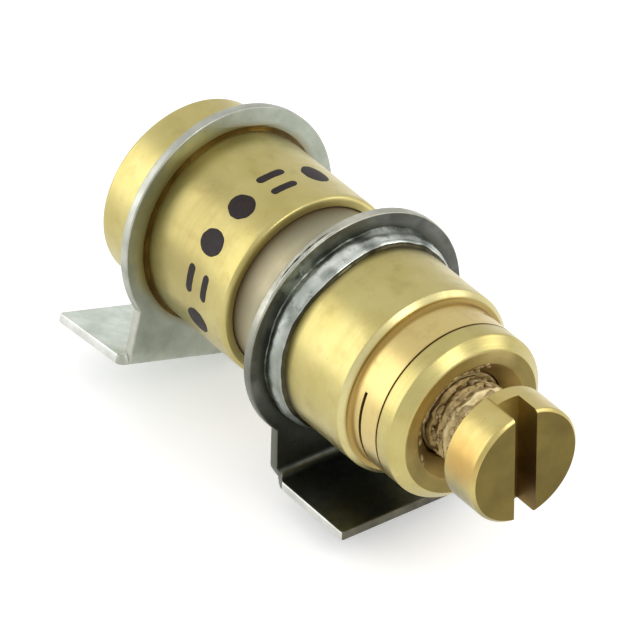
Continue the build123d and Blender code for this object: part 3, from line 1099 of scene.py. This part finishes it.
def make_front_solder():
    """The bead in front of the front ring, with painted shade on its steep front end, and the burr
    of solder on the ring's edge, with a dark ridge behind it as its painted shadow.
    """
    piece = solder_ring("front_solder", front_bead, (8.5, 11))
    finish_piece(piece, "housing", "solder", [BEAD_SOLDER, SOLDER_PAINTED_SHADE], "front_solder_fillet")
    piece = ridge("solder_burr", 102, 148, burr(0.07, 0.025, 0.05, 0.03, 14, 3.1))
    finish_piece(piece, "housing", "solder", [BRIGHT_SOLDER])
    # A dark ridge behind the burr: its painted shadow
    piece = ridge("solder_burr_painted_shadow", 100, 140, burr(0.15, 0.022, 0.035, 0.02, 11, 5.7))
    finish_piece(piece, "housing", "solder", [SOLDER_PAINTED_SHADE])


def rear_ring_piece(name, profile, relief):
    """A turned piece whose x = 0 is the front face of the leaning rear ring."""
    piece = lathe(name, soften(profile), relief=relief)
    piece.data.transform(rear_placing() @ Matrix.Translation((0, 0, -axis_height * MM)))
    return smooth(piece, SOLDER_ANGLE)


def make_rear_gap_shade():
    """A thin brown ring at the front of the rear ring: painted shade in the gap between the ring and
    the sleeve and along the sleeve beside it.
    """
    profile = [
        (-0.10, sleeve_radius - 0.02, 0.0),
        (-0.10, RING_BORE + 0.02, 0.0),
        (-0.01, RING_BORE + 0.02, 0.0),
        (0.04, sleeve_radius + 0.025, 0.015),
        (0.07, sleeve_radius - 0.02, 0.0),
    ]
    piece = rear_ring_piece("rear_gap_painted_shade", profile, uneven(0.02, 5))
    finish_piece(piece, "housing", "solder", [GAP_PAINTED_SHADE])


def make_tube_seal():
    """The solder between the tube and the rear of the bushing."""
    seal = soften([
        (seal_front + 0.02, tube_radius - 0.02, 0.0),
        (seal_front + 0.02, seal_radius - 0.04, 0.0),
        (seal_rear + 0.2, tube_radius + 0.2, 0.05),
        (seal_rear + 0.02, tube_radius + 0.02, 0.0),
        (seal_rear, tube_radius - 0.02, 0.0),
    ])
    piece = smooth(lathe("tube_seal_solder", seal, relief=uneven(0.03, 9)), SOLDER_ANGLE)
    finish_piece(piece, "housing", "solder", [BRIGHT_SOLDER], "tube_solder_fillet")


def make_rear_solder():
    """The solder behind the rear ring."""
    profile = [
        (-SHEET + 0.02, RING_BORE - 0.3, 0.0),
        (-SHEET + 0.02, REAR_SOLDER_RADIUS - 0.05, 0.0),
        (-SHEET - 0.12, sleeve_radius + 0.15, 0.05),
        (-SHEET - REAR_SOLDER_LENGTH, RING_BORE - 0.3, 0.0),
    ]
    piece = rear_ring_piece("rear_solder", profile, uneven(0.02, 17))
    finish_piece(piece, "housing", "solder", [BRIGHT_SOLDER], "rear_solder_fillet")


def dress_inner_nodes():
    """Materials of the pieces inside, whose shape is right as it is."""
    inner = {
        "piston": PISTON_BRASS,
        "thrust_washer": PISTON_BRASS,
        "piston_key_pin": SPRING_STEEL,
        "spring_washer": SPRING_STEEL,
        "retaining_clip": SPRING_STEEL,
    }
    for node, material in inner.items():
        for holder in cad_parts[node].material_slots:
            holder.material = material


# The row of ink marks: its station from the sleeve's rear, its height above the brass, the turn
# from mark to mark and the first mark's place. A dot is its width round the sleeve and its length
# along it. A dash is its length round the sleeve, its width, and how far in front of the row it is.
INK_STATION = 4.97
INK_HEIGHT = 0.006
INK_STEP = math.radians(25.5)
INK_FIRST = math.radians(195.0)
INK_DOT = (0.86, 0.98)
INK_DASHES = ((0.98, 0.30, -0.36), (0.92, 0.28, 0.36))
INK_ROW = ("dot", "dashes", "dot", "dot", "dashes", "dot")


def blot(outline, station, angle, seed):
    """Vertices and faces of one ink mark, a thin shell bent round the sleeve."""
    count = len(outline)
    shares = (0.35, 0.7, 0.92, 1.0)
    rim = 1 + count * (len(shares) - 1)
    vertices = []
    for radius in (sleeve_radius + INK_HEIGHT, sleeve_radius - INK_HEIGHT):
        layer = [(0.0, 0.0)]
        for share in shares:
            for along, across in outline:
                ragged = 1.0 + 0.05 * noise.noise(Vector((along * 6, across * 6, seed * 3.7)))
                layer.append((along * share * ragged, across * share * ragged))
        for i, (along, across) in enumerate(layer):
            lowered = 0.7 * INK_HEIGHT if i >= rim and radius > sleeve_radius else 0.0
            turned = angle + across / sleeve_radius
            vertices.append(on_part(sleeve_rear + station + along, radius - lowered, turned))
    half = 1 + count * len(shares)
    faces = []
    for i in range(count):
        j = (i + 1) % count
        for base in (0, half):
            faces.append((base, base + 1 + i, base + 1 + j))
            for ring in range(len(shares) - 1):
                a = base + 1 + ring * count
                faces.append((a + i, a + count + i, a + count + j, a + j))
        faces.append((rim + i, half + rim + i, half + rim + j, rim + j))
    return vertices, faces


def dot_outline(width, length):
    """A round mark, as (along, across) points in millimetres."""
    angles = [2 * math.pi * i / 40 for i in range(40)]
    return [(length / 2 * math.cos(a), width / 2 * math.sin(a)) for a in angles]


def dash_outline(length, width):
    """A short stroke with round ends that runs round the sleeve."""
    half = (length - width) / 2
    points = []
    for side in (1, -1):
        for i in range(12):
            a = math.pi * i / 12 - (0 if side > 0 else math.pi)
            points.append((width / 2 * math.cos(a), side * half + width / 2 * math.sin(a)))
        for i in range(12):
            points.append((-side * width / 2, side * half * (1 - 2 * i / 12)))
    return points


def make_ink():
    """The row of ink marks round the sleeve: plain dots and pairs of dashes."""
    vertices = []
    faces = []
    for k, kind in enumerate(INK_ROW):
        uneven_row = 0.05 * math.sin(3.0 * k)
        if kind == "dot":
            marks = [(dot_outline(*INK_DOT), 0.0)]
        else:
            marks = [(dash_outline(length, width), offset) for length, width, offset in INK_DASHES]
        for outline, offset in marks:
            station = INK_STATION + offset + uneven_row
            more, sides = blot(outline, station, INK_FIRST - INK_STEP * k, k + offset)
            first = len(vertices)
            vertices += more
            faces += [tuple(first + i for i in side) for side in sides]
    piece = smooth(new_shell("ink_marks", vertices, faces, INK_GAP), SOLDER_ANGLE)
    finish_piece(piece, "housing", "sleeve_brass", [INK])


class Grower(Wiring):
    """A new geometry node tree with named inputs."""

    def __init__(self, name, **sizes):
        super().__init__(bpy.data.node_groups.new(name, "GeometryNodeTree"))
        ports = self.tree.interface
        ports.new_socket("Geometry", in_out="INPUT", socket_type="NodeSocketGeometry")
        ports.new_socket("Geometry", in_out="OUTPUT", socket_type="NodeSocketGeometry")
        self.sockets = {}
        for label, value in sizes.items():
            kind = "NodeSocketInt" if isinstance(value, int) else "NodeSocketFloat"
            self.sockets[label] = (ports.new_socket(label, in_out="INPUT", socket_type=kind), value)
        self.source = self.add("NodeGroupInput").outputs

    def grow(self, piece, result, material):
        """Ends the tree, runs it on a piece and leaves the piece as a plain mesh."""
        real = self.add("GeometryNodeRealizeInstances", {0: result}).outputs[0]
        coloured = self.add("GeometryNodeSetMaterial", {"Geometry": real, "Material": material})
        self.add("NodeGroupOutput", {0: coloured.outputs[0]})
        modifier = piece.modifiers.new("grow", "NODES")
        modifier.node_group = self.tree
        for socket, value in self.sockets.values():
            modifier[socket.identifier] = value
        mesh = plain_mesh(piece)
        piece.modifiers.clear()
        bare = piece.data
        piece.data = mesh
        bpy.data.meshes.remove(bare)


def crumbs(name, profile, size, density, seed, keep):
    """Crumbs scattered over a turned surface, where keep(centre) holds."""
    piece = lathe(name, profile, closed=False, around=96)
    work = bmesh.new()
    work.from_mesh(piece.data)
    axis = Vector((0, 0, axis_height))
    doomed = [face for face in work.faces if not keep(face.calc_center_median() / MM - axis)]
    bmesh.ops.delete(work, geom=doomed, context="FACES")
    work.to_mesh(piece.data)
    work.free()
    tree = Grower(name, Size=size * MM, Density=density / MM**2, Seed=seed)
    points = tree.add(
        "GeometryNodeDistributePointsOnFaces",
        {"Mesh": tree.source["Geometry"], "Density": tree.source["Density"], "Seed": tree.source["Seed"]},
    )
    grain = tree.add("GeometryNodeMeshIcoSphere", {"Radius": tree.source["Size"], "Subdivisions": 1})
    stretch = tree.add(
        "FunctionNodeRandomValue",
        {0: (0.6, 0.6, 0.35), 1: (1.4, 1.3, 0.6), "Seed": tree.source["Seed"]},
        data_type="FLOAT_VECTOR",
    )
    placed = tree.add(
        "GeometryNodeInstanceOnPoints",
        {
            "Points": points.outputs["Points"],
            "Instance": grain.outputs[0],
            "Rotation": points.outputs["Rotation"],
            "Scale": stretch.outputs[0],
        },
    )
    tree.grow(piece, placed.outputs[0], RESIDUE)
    return smooth(piece, CRUMB_ANGLE)


def line_points(start, end, count):
    """Points on a straight (x, r) line."""
    return [tuple(a + (b - a) * i / count for a, b in zip(start, end)) for i in range(count + 1)]


# Crumbs on the screw's neck: name, size, number to a square millimetre, depth under the crest of
# the thread, and seed
NECK_CRUMBS = (
    ("neck_crumbs_coarse", 0.17, 9.0, 0.15, 3),
    ("neck_crumbs_fine", 0.075, 14.0, 0.10, 8),
)

# Where grease has dried on the countersink, in millimetres about the axis, and how far it reaches
GREASE_SPOTS = (
    (collar_front - 0.2, -1.60, 0.45),
    (collar_front - 0.2, -1.62, -0.45),
    (collar_front - 0.2, -0.90, 1.45),
    (collar_front - 0.2, 0.20, 1.70),
)
GREASE_REACH = 0.55


def make_crumbs():
    """Dried grease on the screw's neck and round the bore of the collar."""
    for name, size, density, depth, seed in NECK_CRUMBS:
        radius = SCREW_RADIUS - depth
        neck = line_points((collar_front - 0.22, radius), (head_rear - 0.02, radius), 8)
        piece = crumbs(name, neck, size, density, seed, lambda centre: True)
        finish_piece(piece, "screw", "screw_brass", [])

    def settled(centre):
        return min((centre - Vector(spot)).length for spot in GREASE_SPOTS) < GREASE_REACH

    wide = (collar_front - 0.06, COUNTERSINK_RADIUS - 0.02)
    narrow = (collar_front - 0.36, THREAD_BORE + 0.06)
    piece = crumbs("countersink_crumbs", line_points(wide, narrow, 6), 0.12, 15.0, 5, settled)
    finish_piece(piece, "housing", "bushing_brass", [])


# Stage

CAMERA_AZIMUTH = math.radians(52.92)
CAMERA_ELEVATION = math.radians(35.95)
CAMERA_ROLL = math.radians(1.68)
CAMERA_DISTANCE = 203.2
CAMERA_TARGET = Vector((-0.650, -0.304, 5.166))
SENSOR = 36.0
LENS = 377.0
WHITE = (1.0, 1.0, 1.0, 1.0)
PAPER = (0.90, 0.90, 0.90, 1.0)
FLOOR_HALF = 0.6
FLOOR_LIFT = 0.36
WORLD_LIGHT = 0.8

# Each light's name, azimuth and elevation in degrees, distance and size in millimetres, and power
LIGHTS = (
    ("left_softbox", -41, 14, 120, 120, 0.066),
    ("chamfer_softbox", 100, 45, 150, 60, 0.036),
    ("back_softbox", 152, 24, 150, 60, 0.022),
)


def look_from(azimuth, elevation, distance, target):
    """A placing that looks at a target from an angle, level with the floor."""
    back = Vector((
        math.sin(azimuth) * math.cos(elevation),
        -math.cos(azimuth) * math.cos(elevation),
        math.sin(elevation),
    ))
    right = Vector((math.cos(azimuth), math.sin(azimuth), 0.0))
    up = back.cross(right)
    placing = Matrix((right, up, back)).transposed().to_4x4()
    placing.translation = (target + back * distance) * MM
    return placing


def make_camera():
    """The camera at the photograph's angle."""
    data = bpy.data.cameras.new("camera")
    data.sensor_width = SENSOR
    data.lens = LENS
    data.clip_start = 0.01
    data.clip_end = 10.0
    camera = bpy.data.objects.new("camera", data)
    bpy.context.scene.collection.objects.link(camera)
    placing = look_from(CAMERA_AZIMUTH, CAMERA_ELEVATION, CAMERA_DISTANCE, CAMERA_TARGET)
    camera.matrix_world = placing @ Matrix.Rotation(CAMERA_ROLL, 4, "Z")
    bpy.context.scene.camera = camera


def make_light(name, azimuth, elevation, distance, size, power):
    """A square soft light that points at the part."""
    data = bpy.data.lights.new(name, "AREA")
    data.size = size * MM
    data.energy = power
    light = bpy.data.objects.new(name, data)
    bpy.context.scene.collection.objects.link(light)
    light.matrix_world = look_from(
        math.radians(azimuth), math.radians(elevation), distance, Vector((0, 0, axis_height))
    )


def seen_directly(n):
    """1 for camera, glossy and transmission rays, and 0 for the rays that only light the part."""
    rays = n.add("ShaderNodeLightPath").outputs
    seen = rays["Is Camera Ray"]
    for other in ("Is Glossy Ray", "Is Transmission Ray"):
        seen = n.math("MAXIMUM", seen, rays[other])
    return seen


def make_floor():
    """A pale floor that looks white and keeps the part's shadow."""
    corners = [(-1, -1), (1, -1), (1, 1), (-1, 1)]
    mesh = bpy.data.meshes.new("floor")
    mesh.from_pydata([(x * FLOOR_HALF, y * FLOOR_HALF, 0) for x, y in corners], [], [(0, 1, 2, 3)])
    n = Nodes("floor_paper")
    n.shader.inputs["Base Color"].default_value = PAPER
    n.shader.inputs["Roughness"].default_value = 0.9
    n.shader.inputs["Specular IOR Level"].default_value = 0.1
    n.shader.inputs["Emission Color"].default_value = WHITE
    n.put(n.shader.inputs["Emission Strength"], n.math("MULTIPLY", seen_directly(n), FLOOR_LIFT))
    mesh.materials.append(n.material)
    new_object("floor", mesh)


def make_world():
    """A soft white surround, at full strength where the camera or a reflection sees it."""
    world = bpy.data.worlds.new("surround")
    bpy.context.scene.world = world
    world.use_nodes = True
    n = Wiring(world.node_tree)
    background = n.tree.nodes["Background"]
    background.inputs["Color"].default_value = WHITE
    levels = {"Value": seen_directly(n), "To Min": WORLD_LIGHT, "To Max": 1.0}
    n.put(background.inputs["Strength"], n.add("ShaderNodeMapRange", levels).outputs[0])


make_sleeve()
make_tube()
make_bushing()
make_screw()
make_terminals()
make_front_solder()
make_rear_gap_shade()
make_tube_seal()
make_rear_solder()
make_ink()
make_crumbs()
dress_inner_nodes()
make_camera()
for light in LIGHTS:
    make_light(*light)
make_floor()
make_world()
bpy.context.scene.view_settings.view_transform = "Standard"
